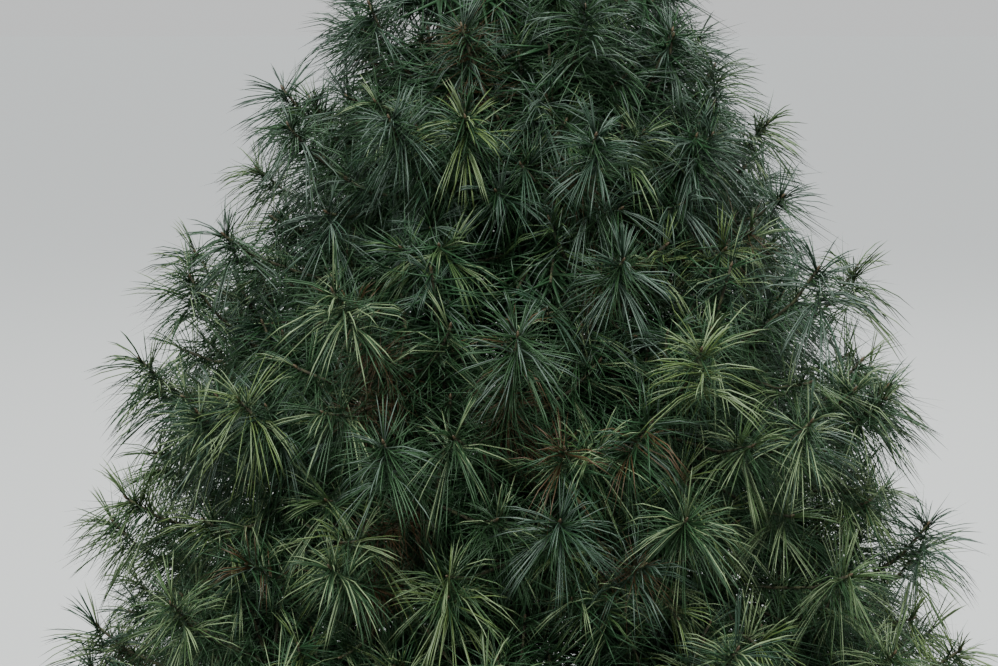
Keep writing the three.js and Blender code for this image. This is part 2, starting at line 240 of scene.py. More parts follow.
def roughen(made, kind, grain, depth, stretch, **settings):
    """Raises a procedural relief on a mesh, with its pattern stretched along Z."""
    pattern = bpy.data.textures.new("bark_relief", kind)
    pattern.noise_scale = grain
    for key, value in settings.items():
        setattr(pattern, key, value)
    bpy.ops.object.empty_add(location=(0, 0, 0))
    space = bpy.context.object
    space.scale = (1, 1, stretch)
    bpy.context.view_layer.objects.active = made
    relief = made.modifiers.new("relief", "DISPLACE")
    relief.texture = pattern
    relief.texture_coords = "OBJECT"
    relief.texture_coords_object = space
    relief.strength = depth
    relief.mid_level = 0.5
    bpy.ops.object.modifier_apply(modifier=relief.name)
    bpy.data.objects.remove(space)


bpy.ops.mesh.primitive_circle_add(
    vertices=TRUNK_SIDES, radius=trunk_radius(0, 0), fill_type="NGON", location=(0, 0, 0)
)
trunk = bpy.context.object
trunk.name = "trunk_bark"
heights = [TRUNK_HEIGHT * (i / TRUNK_RINGS) ** TRUNK_RING_EASE for i in range(TRUNK_RINGS + 1)]
bpy.ops.object.mode_set(mode="EDIT")
for low, high in zip(heights, heights[1:]):
    bpy.ops.mesh.extrude_region_move(TRANSFORM_OT_translate={"value": trunk_axis(high) - trunk_axis(low)})
    narrower = trunk_radius(high, 0) / trunk_radius(low, 0)
    bpy.ops.transform.resize(value=(narrower, narrower, 1), center_override=trunk_axis(high))
lobed = [z for z in heights if z < LOBED_HEIGHT]
for z in lobed:
    for lobe in LOBE_CLASSES:

        def on_lobe(point, z=z, lobe=lobe):
            wave = math.cos(FLARE_LOBES * math.atan2(point.y, point.x - LEAN * z))
            return abs(point.z - z) < RING_MATCH and abs(wave - lobe) < LOBE_MATCH

        select_points(trunk, on_lobe)
        wider = trunk_radius(z, lobe) / trunk_radius(z, 0)
        bpy.ops.transform.resize(value=(wider, wider, 1), center_override=trunk_axis(z))
bpy.ops.mesh.select_all(action="SELECT")
bpy.ops.mesh.normals_make_consistent(inside=False)
bpy.ops.object.mode_set(mode="OBJECT")
finer = trunk.modifiers.new("finer", "SUBSURF")
finer.subdivision_type = "SIMPLE"
finer.levels = finer.render_levels = TRUNK_SPLITS
bpy.ops.object.modifier_apply(modifier=finer.name)
cut = [vertex.index for vertex in trunk.data.vertices if vertex.co.z < CUT_MATCH]
furrows = dict(distance_metric="DISTANCE", weight_2=1, weight_1=-1)
roughen(trunk, "VORONOI", grain=0.011, depth=0.0022, stretch=5, **furrows)
roughen(trunk, "CLOUDS", grain=0.05, depth=0.003, stretch=2.5)
for i in cut:
    trunk.data.vertices[i].co.z = 0
bpy.ops.object.shade_smooth()


CRACK_WEIGHT = 2.2
ROUGH_WEIGHT = 0.55
BROAD_WEIGHT = 0.4
BARK_TONE_SHIFT = -0.2


def bark_material(name, furrow, bark, lichen, stretch, bump):
    """Bark that is dark in its cracks and paler on its ridges, with the relief of both."""
    shader = Shader(name)
    where = shader.place(stretch)
    cracks = shader.node("TexVoronoi", {"feature": "DISTANCE_TO_EDGE"}, {"Vector": where, "Scale": 60})
    rough = shader.node("TexNoise", inputs={"Vector": where, "Scale": 140, "Detail": 5, "Roughness": 0.6})
    broad = shader.node("TexNoise", inputs={"Vector": where, "Scale": 12, "Detail": 2})
    depth = cracks * CRACK_WEIGHT + rough * ROUGH_WEIGHT
    tone = depth + broad * BROAD_WEIGHT + BARK_TONE_SHIFT
    color = shader.node("ValToRGB", {"stops": [(0.2, furrow), (0.62, bark), (1, lichen)]}, {0: tone})
    relief = shader.node("Bump", inputs={"Height": depth, "Strength": 0.7, "Distance": bump})
    return shader.finish(Base_Color=color, Roughness=0.88, Normal=relief)


furrowed_bark = bark_material("furrowed_bark", furrow=linear(38, 30, 25), bark=linear(88, 76, 64),
                              lichen=linear(118, 112, 98), stretch=(1, 1, 0.3), bump=0.003)
trunk.data.materials.append(furrowed_bark)
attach(trunk, "root")
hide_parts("trunk")

# The boughs: whorls of living limbs that leave the trunk one above the other, sag a little, and taper to
# the tuft at the end of each. They are smoother than the trunk, with a collar where they grow from it.
FRONT = -90
BOUGH_SHARE = 0.47
STEM_TIP_RADIUS = 0.0045
LIMB_SAG = 0.07
LIMB_SAG_AT = 0.55
LIMB_END = 0.94
LIMB_LENGTH_STEPS = 200
MIDDLE_ACROSS_VARIES = 0.06
MIDDLE_UP_VARIES = 0.08
SETTLING_ROUNDS = 4
TWIG_ANGLE = 48
FIRST_FORK = 0.06
LAST_FORK = 0.91
FORK_SPREAD = 0.3
FORK_TRIES = 12
MIDDLE_ORDER = 0.5
CLEAR = 0.0003
LEAST_ROOM = 0.26
SHOOT_LENGTH = 0.115
SHOOT_RADIUS = 0.016
SPRAY_REACH = 0.172
RING_ACROSS = 0.66
RING_UP = 0.62
SPRAY_DROP = 0.038
PITCH_SPREAD = 17
PITCH_VARIES = 5
FAN_SPREAD = 24
RING_VARIES = 0.15
RING_SPREADS = 0.1
LOBE = 0.05
CROWN_TOP = 2.1
TIP_SHARE = 0.62
# One row for each tier of boughs, from the ground up, and the leader that ends the trunk.
TIERS = [
    dict(name="bottom", boughs=6, turn=42, whorl=0.205, root=0.0125, sprays=7, pitch=24, size=1,
         foot=0.150, wide=0.740, narrow=0.720, tuck=0.1, rise=0.03, wave=0),
    dict(name="lower", boughs=6, turn=12, whorl=0.430, root=0.012, sprays=7, pitch=32, size=1,
         foot=0.540, wide=0.718, narrow=0.620, tuck=0, rise=0.35, wave=0.050),
    dict(name="middle", boughs=6, turn=42, whorl=0.815, root=0.0105, sprays=6, pitch=37, size=1,
         foot=0.890, wide=0.610, narrow=0.515, tuck=0, rise=0.35, wave=0.050),
    dict(name="upper", boughs=5, turn=14, whorl=1.225, root=0.0085, sprays=5, pitch=44, size=0.92,
         foot=1.262, wide=0.475, narrow=0.280, tuck=0, rise=0.37, wave=0.045),
    dict(name="top", boughs=4, turn=55, whorl=1.580, root=0.0055, sprays=4, pitch=58, size=0.78,
         foot=1.590, wide=0.275, narrow=0.150, tuck=0, rise=0.37, wave=0.025),
]
LEADER = dict(foot=1.850, wide=0.125, rise=0.4, size=0.8, upright_pitch=88, upright_fork=0.4,
              ring_sprays=3, ring_pitch=70, ring_fork=0.2, ring_length=0.024)


def chance(a, b, c):
    """A number from 0 to 1 that is always the same for the same three keys."""
    s = math.sin(a * 12.9898 + b * 78.233 + c * 37.719) * 43758.5453
    return s - math.floor(s)


def vary(a, b, c, amount):
    """A number up to the amount either way, always the same for the same keys."""
    return (2 * chance(a, b, c) - 1) * amount


def heading(bearing, pitch):
    """The direction of a bearing round the trunk and a pitch above level."""
    level = math.cos(pitch)
    return Vector((math.cos(bearing) * level, math.sin(bearing) * level, math.sin(pitch)))


def seam(tier, r, bearing):
    """The height of the seam under a tier, and under the leader's foliage above the last one."""
    if tier == len(TIERS):
        return LEADER["foot"] - LEADER["rise"] * (LEADER["wide"] - r)
    t = TIERS[tier]
    dip = np.cos(t["boughs"] * (bearing - math.radians(FRONT + t["turn"])))
    return t["foot"] - t["rise"] * (t["wide"] - r) - t["wave"] * (r / t["wide"]) * dip


def spray_at(space, key, across, up):
    """Where a spray of a mass stands. across and up run from -1 to 1 over the mass's space."""
    t = TIERS[space["tier"]]
    rising = math.radians(t["pitch"] + PITCH_SPREAD * up + vary(space["key"], key, 2, PITCH_VARIES))
    forward = (SHOOT_LENGTH + SPRAY_REACH) * math.cos(rising)
    reach = t["size"] * max(forward, 0.5 * SHOOT_LENGTH + SPRAY_REACH)
    bearing = space["bearing"] + across * space["half"]
    room = (2 * t["size"] * SHOOT_RADIUS) / math.sin(space["half"] * max(1 - abs(across), LEAST_ROOM))
    head = seam(space["tier"] + 1, t["narrow"], bearing)
    r = t["wide"] - reach
    for _ in range(SETTLING_ROUNDS):
        low = seam(space["tier"], r, bearing)
        z = lerp(low, seam(space["tier"] + 1, r, bearing), (1 + up) / 2) - SPRAY_DROP
        share = min(max((z + SPRAY_DROP - t["foot"]) / (head - t["foot"]), 0), 1)
        surface = lerp(t["wide"], t["narrow"], share) * (1 - LOBE * across**2 - t["tuck"] * (1 - share) ** 2)
        r = max(surface - reach, trunk_radius(z) + room)
    root = trunk_axis(z) + heading(bearing, 0) * r
    along = heading(bearing + math.radians(across * FAN_SPREAD), rising)
    return dict(key=key, size=t["size"], root=root, along=along, mass=space["key"], tier=space["tier"])


def sprays_of(space):
    """A mass's sprays: the first ends the stem, and the rest ring it."""
    key = space["key"]
    count = TIERS[space["tier"]]["sprays"] - 1
    middle = vary(key, 0, 5, MIDDLE_ACROSS_VARIES), vary(key, 0, 6, MIDDLE_UP_VARIES)
    made = [spray_at(space, 0, *middle)]
    for i in range(1, count + 1):
        stagger = 0.5 * (space["number"] % 2)
        angle = 2 * math.pi * (i + stagger) / count + vary(key, i, 5, RING_VARIES)
        out = 1 + vary(key, i, 6, RING_SPREADS)
        made.append(spray_at(space, i, RING_ACROSS * out * math.cos(angle), RING_UP * out * math.sin(angle)))
    return made


class Limb:
    """A whole limb from the trunk's axis to its first spray, a little slack under its own weight."""

    def __init__(self, tier, end):
        self.tier = tier
        root_radius = TIERS[tier]["root"]
        self.start = trunk_axis(TIERS[tier]["whorl"])
        self.end = end
        self.middle = self.start.lerp(end, LIMB_SAG_AT)
        self.middle.z -= LIMB_SAG * (end - self.start).length
        self.root_radius = root_radius
        steps = [self.point(i / LIMB_LENGTH_STEPS) for i in range(LIMB_LENGTH_STEPS + 1)]
        self.length = sum((b - a).length for a, b in zip(steps, steps[1:]))

    def point(self, t):
        return (1 - t) ** 2 * self.start + 2 * t * (1 - t) * self.middle + t * t * self.end

    def way(self, t):
        return (2 * (1 - t) * (self.middle - self.start) + 2 * t * (self.end - self.middle)).normalized()


def fork_share(limb, first, root, order):
    """Where along the limb a twig forks off: most nearly at its usual angle, one after the other."""
    step = (LAST_FORK - first) / FORK_TRIES
    tries = [first + step * i for i in range(FORK_TRIES)]
    usual = math.radians(TWIG_ANGLE)
    best = min(tries, key=lambda t: abs((root - limb.point(t)).angle(limb.way(t)) - usual))
    return min(max(best + FORK_SPREAD * (order - MIDDLE_ORDER), first), LAST_FORK)


limbs = []
sprays = []
masses = []
for tier, row in enumerate(TIERS):
    for number in range(row["boughs"]):
        half = math.pi / row["boughs"]
        bearing = math.radians(FRONT + row["turn"]) + 2 * half * number
        space = dict(tier=tier, number=number, key=10 * tier + number, bearing=bearing, half=half)
        own = sprays_of(space)
        limb = Limb(tier, own[0]["root"])
        joint = 0 if tier == len(TIERS) - 1 else BOUGH_SHARE + CLEAR / limb.length
        for i, spray in enumerate(own):
            order = i / (len(own) - 1)
            t = LAST_FORK if i == 0 else fork_share(limb, joint + FIRST_FORK, spray["root"], order)
            spray["fork"] = limb.point(t)
            spray["fork_way"] = limb.way(t)
        limbs.append(limb)
        sprays.extend(own)
        masses.append((space, limb, joint))

leader_key = 10 * len(TIERS)
leader_foot = trunk_axis(TRUNK_HEIGHT + CLEAR + LEAN * TRUNK_TIP_RADIUS)
leader_head = trunk_axis(CROWN_TOP - LEADER["size"] * (SHOOT_LENGTH + TIP_SHARE * SPRAY_REACH))
leader_sprays = [(0, LEADER["upright_fork"], heading(0, math.radians(LEADER["upright_pitch"])), leader_head)]
for i in range(1, LEADER["ring_sprays"] + 1):
    bearing = 2 * math.pi * i / LEADER["ring_sprays"] + vary(leader_key, i, 5, RING_VARIES)
    pitch = math.radians(LEADER["ring_pitch"] + vary(leader_key, i, 2, PITCH_VARIES))
    along = heading(bearing, pitch)
    fork = leader_foot.lerp(leader_head, LEADER["ring_fork"])
    leader_sprays.append((i, LEADER["ring_fork"], along, fork + along * LEADER["ring_length"]))
for i, t, along, root in leader_sprays:
    sprays.append(dict(key=i, size=LEADER["size"], root=root, along=along, mass=leader_key, tier=len(TIERS),
                       fork=leader_foot.lerp(leader_head, t), fork_way=Vector((LEAN, 0, 1)).normalized()))

COLLAR = 0.45
COLLAR_LENGTH = 0.022
LIMB_POINTS = 26
MERGED = 1e-5


def grow_limb(limb):
    """One limb as a round tube on a curve."""
    curve = bpy.data.curves.new("limb", "CURVE")
    curve.dimensions = "3D"
    curve.bevel_depth = 1
    curve.bevel_resolution = 3
    curve.use_fill_caps = True
    spline = curve.splines.new("POLY")
    spline.points.add(LIMB_POINTS - 1)
    for i, point in enumerate(spline.points):
        t = LIMB_END * i / (LIMB_POINTS - 1)
        out = max(t * limb.length - trunk_radius(limb.start.z), 0)
        point.co = (*limb.point(t), 1)
        collar = 1 + COLLAR * math.exp(-out / COLLAR_LENGTH)
        point.radius = lerp(limb.root_radius, STEM_TIP_RADIUS, t) * collar
    made = bpy.data.objects.new("limb", curve)
    bpy.context.collection.objects.link(made)
    return made


made_limbs = [grow_limb(limb) for limb in limbs]
bpy.ops.object.select_all(action="DESELECT")
for made in made_limbs:
    made.select_set(True)
bpy.context.view_layer.objects.active = made_limbs[0]
bpy.ops.object.convert(target="MESH")
bpy.ops.object.join()
boughs = bpy.context.object
boughs.name = "boughs_bark"
bpy.ops.object.mode_set(mode="EDIT")
bpy.ops.mesh.select_all(action="SELECT")
bpy.ops.mesh.remove_doubles(threshold=MERGED)
bpy.ops.mesh.normals_make_consistent(inside=False)
bpy.ops.mesh.subdivide(number_cuts=1)
bpy.ops.object.mode_set(mode="OBJECT")
roughen(boughs, "VORONOI", grain=0.009, depth=0.0011, stretch=1)
roughen(boughs, "CLOUDS", grain=0.03, depth=0.0016, stretch=1)
bpy.ops.object.shade_smooth()
limb_bark = bark_material("limb_bark", furrow=linear(44, 37, 29), bark=linear(92, 82, 66),
                          lichen=linear(112, 108, 88), stretch=(1, 1, 1), bump=0.0015)
boughs.data.materials.append(limb_bark)
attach(boughs, "root")
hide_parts(*[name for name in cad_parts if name.startswith("bough_")])

# The twigs: each spray of the crown is one twig that forks off its limb and divides into short green-brown
# shoots. More twigs stand between the sprays and inside the crown, as on a tree cut to shape every summer.
SIDE_SHOOTS = 4
SIDE_ANGLE = 50
SIDE_ANGLE_VARIES = 7
SIDE_TURN_VARIES = 0.35
SIDE_LENGTH = 0.15
SIDE_LENGTH_VARIES = 0.14
SIDE_START = 0.10
SIDE_BEND = 0.3
SIDE_POINTS = 4
MAIN_POINTS = 5
MAIN_TIPS = (1.74, 1.86, 2.0, 1.62, 1.05, 1.45)
# How much further the lowest shoots of some masses reach, by the mass's key.
LOW_REACH = {33: 1.35, 34: 1.35, 10: 1.08, 11: 1.08}
LOW_TUFT_DROP = 0.03
UPTURNS = (0.3, 0.95)
FORK_BEND = 0.5
TWIG_ROOT_RADIUS = 0.0036
SHOOT_ROOT_RADIUS = 0.0026
SHOOT_TIP_RADIUS = 0.0019
TWIG_SIDES = 5
TWIG_POINTS = 6
FILLER_PLACES = ((0.9, 0.8), (-0.9, 0.8), (0.9, -0.75), (-0.9, -0.75), (0.95, 0.05), (-0.95, -0.05), (0, 0.9),
                 (0.45, 0.7), (-0.45, 0.7))
TOP_FILLER_PLACES = ((0.9, 0.3), (-0.9, 0.3), (0.9, -0.75), (-0.9, -0.75))
FILLER_KEY = 20
FILLER_REACH = 0.9
HIGH_FILLER_REACH = 0.5
HIGH_FILLERS_FROM = 0.25
FILLER_THICKNESS = 0.8
INNER_PLACES = [(across, up) for across in (-0.75, -0.25, 0.25, 0.75) for up in (0.75, 0, -0.75)]
TOP_INNER_PLACES = [place for place in INNER_PLACES if place[1] <= 0]
INNER_SHARES = (0.42, 0.68)
SEAM_PLACES = [(across, 0.92) for across in (-0.8, -0.4, 0, 0.4, 0.8)]
SEAM_PLACES += [(across, -0.9) for across in (-0.5, 0, 0.5)]
SEAM_SHARES = (0.25, 0.45, 0.62)
NECK_TUFTS = 6
NECK_KEY = 200
NECK_PITCH = 42
NECK_LENGTH = 0.065
NECK_BEND = 0.4
NECK_LOW = 1.775
NECK_FOOT = 1.62
MAIN_SLEEVE_APART = 0.0016
SIDE_SLEEVE_APART = 0.0032
NECK_SLEEVE_APART = 0.0010
STEM_SLEEVE_APART = 0.0007
NECK_SLEEVE_SHARES = (0, 0.33, 0.67, 1)
STEM_SLEEVE_SHARES = (-0.15, 0.1, 0.35, 0.6)
BRUSHED_SHARES = (0.3, 0.45, 0.6, 0.75, 0.9)
UP = Vector((0, 0, 1))


def arc(start, start_way, end, end_way, count):
    """Points along a twig that leaves in one direction and ends in another."""
    pull = (end - start).length / 3
    a = start + start_way * pull
    b = end - end_way * pull
    made = []
    for i in range(count):
        t = i / (count - 1)
        made.append((1 - t) ** 3 * start + 3 * t * (1 - t) ** 2 * a + 3 * t * t * (1 - t) * b + t**3 * end)
    return made


def forked(spray, end, way):
    """The line of a twig that leaves its limb at the spray's fork and ends at a place in one direction."""
    leaving = (spray["root"] - spray["fork"]).normalized().lerp(spray["fork_way"], FORK_BEND).normalized()
    return arc(spray["fork"], leaving, end, way, TWIG_POINTS)


def height_share(spray):
    """How high a spray stands in its tier, from 0 at the seam below it to 1 at the one above."""
    root = spray["root"]
    x, tier = root.x - LEAN * root.z, spray["tier"]
    if tier == len(TIERS):
        return 1
    r, bearing = math.hypot(x, root.y), math.atan2(root.y, x)
    low, high = seam(tier, r, bearing), seam(tier + 1, r, bearing)
    return min(max((root.z - low) / (high - low), 0), 1)


def sideways(along, angle):
    """A direction square to another, turned round it."""
    flat = along.cross(UP).normalized()
    flat.rotate(Quaternion(along, angle))
    return flat


def inner_at(space, across, up, share):
    """A place inside a mass, well behind its sprays."""
    t = TIERS[space["tier"]]
    r = lerp(t["wide"], t["narrow"], (1 + up) / 2) * share
    bearing = space["bearing"] + across * space["half"]
    z = lerp(seam(space["tier"], r, bearing), seam(space["tier"] + 1, r, bearing), (1 + up) / 2)
    return trunk_axis(z) + heading(bearing, 0) * r


def dealt(places, shares):
    """Each place with a share of the crown's radius, dealt out in turn."""
    return [(across, up, shares[i % len(shares)]) for i, (across, up) in enumerate(places)]


fillers = []
inner_twigs = []
for space, limb, joint in masses:
    tier = space["tier"]
    top = tier == len(TIERS) - 1
    for i, (across, up) in enumerate(TOP_FILLER_PLACES if top else FILLER_PLACES):
        spray = spray_at(space, FILLER_KEY + i, across, up)
        t = fork_share(limb, joint + FIRST_FORK, spray["root"], i / len(FILLER_PLACES))
        spray["fork"] = limb.point(t)
        spray["fork_way"] = limb.way(t)
        spray["reach"] = HIGH_FILLER_REACH if up > HIGH_FILLERS_FROM else FILLER_REACH
        fillers.append(spray)
    inner = dealt(TOP_INNER_PLACES if top else INNER_PLACES, INNER_SHARES)
    inner += [] if top else dealt(SEAM_PLACES, SEAM_SHARES)
    for across, up, share in inner:
        if tier > 0 or up >= 0:
            place = inner_at(space, across, up, share)
            t = fork_share(limb, joint, place, MIDDLE_ORDER)
            inner_twigs.append((limb.point(t), limb.way(t), place, tier))

twigs = []
shoots = []
brushes = []
inner_brushes = []
sleeves = []
for spray in sprays:
    key, size, root, along = spray["mass"] + 0.5, spray["size"], spray["root"], spray["along"]
    high = height_share(spray)
    upturn = lerp(*UPTURNS, high)
    reach = size * SHOOT_LENGTH * MAIN_TIPS[spray["tier"]] * lerp(LOW_REACH.get(spray["mass"], 1), 1, high)
    tip = root + along * reach - UP * (LOW_TUFT_DROP * (1 - high))
    tip_way = (along + UP * upturn).normalized()
    line = forked(spray, root, along)
    main_line = arc(root, along, tip, tip_way, MAIN_POINTS)
    twigs.append((line, TWIG_ROOT_RADIUS, SHOOT_ROOT_RADIUS))
    twigs.append((main_line, SHOOT_ROOT_RADIUS, SHOOT_TIP_RADIUS))
    brushes.append((line, spray["tier"]))
    sleeves.append((main_line, spray["tier"], MAIN_SLEEVE_APART))
    sleeves.append((line[3:], spray["tier"], SIDE_SLEEVE_APART))
    shoots.append(dict(kind="main", tip=tip, way=tip_way, size=size, key=key, number=10 * spray["key"],
                       tier=spray["tier"]))
    turn = 2 * math.pi * chance(key, spray["key"], 1)
    for i in range(SIDE_SHOOTS):
        angle = turn + 2 * math.pi * i / SIDE_SHOOTS + vary(key, spray["key"], 11 + i, SIDE_TURN_VARIES)
        tilt = math.radians(SIDE_ANGLE + vary(key, spray["key"], 21 + i, SIDE_ANGLE_VARIES))
        out = along * math.cos(tilt) + sideways(along, angle) * math.sin(tilt)
        length = size * SIDE_LENGTH * (1 + vary(key, spray["key"], 31 + i, SIDE_LENGTH_VARIES))
        length *= MAIN_TIPS[spray["tier"]] / max(MAIN_TIPS)
        side_root = root + along * (size * SHOOT_LENGTH * SIDE_START)
        side_tip = side_root + out * length
        way = (out + along * SIDE_BEND + UP * upturn).normalized()
        side_line = arc(side_root, out, side_tip, way, SIDE_POINTS)
        twigs.append((side_line, SHOOT_ROOT_RADIUS, SHOOT_TIP_RADIUS))
        sleeves.append((side_line, spray["tier"], SIDE_SLEEVE_APART))
        shoots.append(dict(kind="side", tip=side_tip, way=way, size=size, key=key,
                           number=10 * spray["key"] + i + 1, tier=spray["tier"]))
for spray in fillers:
    reach = spray["reach"] * spray["size"] * SHOOT_LENGTH * MAIN_TIPS[spray["tier"]]
    tip = spray["root"] + spray["along"] * reach
    way = (spray["along"] + UP * lerp(*UPTURNS, height_share(spray))).normalized()
    line = forked(spray, tip, way)
    twigs.append((line, TWIG_ROOT_RADIUS * FILLER_THICKNESS, SHOOT_TIP_RADIUS))
    brushes.append((line, spray["tier"]))
    shoots.append(dict(kind="fill", tip=tip, way=way, size=spray["size"], key=spray["mass"] + 0.5,
                       number=10 * spray["key"], tier=spray["tier"]))
for i in range(NECK_TUFTS):
    out = heading(2 * math.pi * (i + 0.5) / NECK_TUFTS, math.radians(NECK_PITCH))
    foot = leader_foot if i % 2 else trunk_axis(NECK_LOW)
    tip = foot + out * NECK_LENGTH
    way = (out + UP * NECK_BEND).normalized()
    twigs.append((arc(foot, out, tip, way, SIDE_POINTS), SHOOT_ROOT_RADIUS, SHOOT_TIP_RADIUS))
    shoots.append(dict(kind="fill", tip=tip, way=way, size=LEADER["size"], key=leader_key + 0.5,
                       number=NECK_KEY + i, tier=len(TIERS)))
for start, start_way, end, tier in inner_twigs:
    line = arc(start, start_way, end, (end - start).normalized(), MAIN_POINTS)
    twigs.append((line, SHOOT_ROOT_RADIUS, SHOOT_TIP_RADIUS))
    inner_brushes.append((line, tier))
neck = [trunk_axis(lerp(NECK_FOOT, TRUNK_HEIGHT, share)) for share in NECK_SLEEVE_SHARES]
sleeves.append((neck, len(TIERS) - 1, NECK_SLEEVE_APART))
stem = [leader_foot.lerp(leader_head, share) for share in STEM_SLEEVE_SHARES]
sleeves.append((stem, len(TIERS), STEM_SLEEVE_APART))
for limb in limbs:
    brushes.append(([limb.point(t) for t in BRUSHED_SHARES], limb.tier))


NUDGE = 1e-6


def frame_round(ways):
    """Two directions square to each of an array of directions and to each other."""
    flat = np.cross(ways, (0.0, 0.0, 1.0))
    flat += NUDGE
    flat /= np.linalg.norm(flat, axis=-1, keepdims=True)
    return flat, np.cross(flat, ways)


def tubes(lines, radii, sides, tipped):
    """Closed tubes along lines of points, as vertices and triangles. A tipped tube ends in a point."""
    count, steps = lines.shape[:2]
    ways = np.gradient(lines, axis=1)
    ways /= np.linalg.norm(ways, axis=-1, keepdims=True)
    flat, other = frame_round(ways)
    turn = np.arange(sides) * 2 * np.pi / sides
    rings = steps - 1 if tipped else steps
    spokes = flat[:, :rings, None] * np.cos(turn)[:, None] + other[:, :rings, None] * np.sin(turn)[:, None]
    points = lines[:, :rings, None] + spokes * radii[:, :rings, None, None]
    points = points.reshape(count, rings * sides, 3)
    faces = []
    for ring in range(rings - 1):
        for k in range(sides):
            a, b = ring * sides + k, ring * sides + (k + 1) % sides
            faces += [(a, b, b + sides), (a, b + sides, a + sides)]
    faces += [(0, k + 1, k) for k in range(1, sides - 1)]
    last = (rings - 1) * sides
    if tipped:
        points = np.concatenate([points, lines[:, -1:]], axis=1)
        faces += [(last + k, last + (k + 1) % sides, last + sides) for k in range(sides)]
    else:
        faces += [(last, last + k, last + k + 1) for k in range(1, sides - 1)]
    each = points.shape[1]
    indices = np.array(faces)[None] + (np.arange(count) * each)[:, None, None]
    return points.reshape(-1, 3), indices.reshape(-1, 3)


def joined(name, parts, material):
    """One mesh object of many small closed forms."""
    offset = 0
    points, faces = [], []
    for place, corners in parts:
        points.append(place)
        faces.append(corners + offset)
        offset += len(place)
    points = np.concatenate(points).astype(np.float32)
    faces = np.concatenate(faces).astype(np.int32)
    mesh = bpy.data.meshes.new(name)
    mesh.vertices.add(len(points))
    mesh.vertices.foreach_set("co", points.ravel())
    mesh.loops.add(faces.size)
    mesh.loops.foreach_set("vertex_index", faces.ravel())
    mesh.polygons.add(len(faces))
    mesh.polygons.foreach_set("loop_start", np.arange(0, faces.size, 3, dtype=np.int32))
    mesh.update(calc_edges=True)
    mesh.shade_smooth()
    mesh.materials.append(material)
    made = bpy.data.objects.new(name, mesh)
    bpy.context.collection.objects.link(made)
    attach(made, "root")
    return made


def twig_parts():
    """The twigs as tubes, those of one number of points together."""
    for steps in sorted({len(line) for line, _, _ in twigs}):
        group = [t for t in twigs if len(t[0]) == steps]
        lines = np.array([[tuple(p) for p in line] for line, _, _ in group])
        share = np.linspace(0, 1, steps)
        radii = np.array([a + (b - a) * share for _, a, b in group])
        yield tubes(lines, radii, TWIG_SIDES, tipped=False)


twig_bark = bark_material("twig_bark", furrow=linear(36, 34, 22), bark=linear(62, 60, 40),
                          lichen=linear(76, 80, 52), stretch=(1, 1, 1), bump=0.0006)
twig_piece = joined("twigs", twig_parts(), twig_bark)

# The buds: a slim pointed one closes the end of every outer shoot, brown and a little resinous, and grows
# out of the shoot's own tip among the youngest needles.
BUD_LENGTH = 0.008
BUD_RADIUS = 0.0022
BUD_SIDES = 4
BUD_SHARES = (-0.1, 0.3, 0.75, 1)
BUD_OUTLINE = (0.8, 1, 0.6, 0)
BUD_STOPS = ((0.3, linear(62, 50, 36)), (0.7, linear(98, 84, 60)))
bud_lines = []
for shoot in shoots:
    tip, way = shoot["tip"], shoot["way"]
    bud_lines.append([tuple(tip + way * (BUD_LENGTH * share)) for share in BUD_SHARES])
bud_radii = np.broadcast_to(np.array(BUD_OUTLINE) * BUD_RADIUS, (len(bud_lines), len(BUD_OUTLINE)))
bud_shader = Shader("bud_scales")
bud_tone = bud_shader.node("TexNoise", inputs={"Vector": bud_shader.place(), "Scale": 300})
bud_color = bud_shader.node("ValToRGB", {"stops": BUD_STOPS}, {0: bud_tone})
bud_piece = joined("buds", [tubes(np.array(bud_lines), bud_radii, BUD_SIDES, tipped=True)],
                   bud_shader.finish(Base_Color=bud_color, Roughness=0.5))

# The needles: long, slender and limp, set all round the end of every shoot and along the twigs behind it.
# They bend down under their own weight and the rain, which makes them cling together in locks. Each tuft
# has its own green, bluer high in the crown, and some of the old needles behind the tufts are rusty.
NEEDLE_LENGTH = 0.101
NEEDLE_RADIUS = 0.00092
NEEDLE_SIDES = 3
NEEDLE_STEPS = {4: np.array([0, 0.36, 0.72, 1]), 3: np.array([0, 0.5, 1]), 2: np.array([0, 1])}
NEEDLE_OUTLINE = ([0, 0.36, 0.72, 1], [0.8, 1, 0.9, 0])
NEEDLES = {"main": 76, "side": 50, "fill": 50}
NEEDLES_IN_LOCK = 6
NEEDLED_LENGTH = 0.055
INNER_NEEDLES = 24
BEHIND_SHARE = 0.72
SURFACE_DEPTH = 0.135
INNER_DEPTH = 0.19
TUFT_WAY_VARIES = 0.22
TUFT_SIZE_VARIES = 0.12
TUFT_RADII = (0.84, 1.1)
TUFT_TILTS = ([0, 0.25, 0.8, 1], [104, 84, 56, 20])
TUFT_LENGTHS = ([0, 0.5, 1], [0.9, 1, 0.8])
TUFT_FALLS = ([0, 1], [1, 0.7])
LOCK_TILT_VARIES = 7
LOCK_TURN_VARIES = 0.3
TILT_VARIES = 8
TURN_VARIES = 0.2
ROOT_VARIES = 0.1
SHORTEST = 0.84
LIMPNESS = (0.3, 0.85)
LIMPNESS_VARIES = 0.06
STEEP_FALL = 0.3
FALL_POWER = 1.9
GOLDEN_TURN = math.pi * (3 - math.sqrt(5))
FINE_NEEDLES = 40
FINE_NEEDLE_RADIUS = 0.00066
FINE_TILTS = (35, 112)
FINE_ROOTS = (0, 1.1)
FINE_LENGTHS = (0.6, 0.95)
FINE_FALLS = (0.15, 0.5)
BRUSH_FROM = 0.05
BRUSH_LENGTHS = (0.7, 1.1)
BRUSH_FALLS = (0.1, 0.6)
OLD_NEEDLES_APART = 0.0024
OLD_NEEDLE_LENGTH = 0.11
OLD_NEEDLE_RADIUS = 0.0020
OLD_TILTS = (40, 85)
SLEEVE_NEEDLE_LENGTH = 0.095
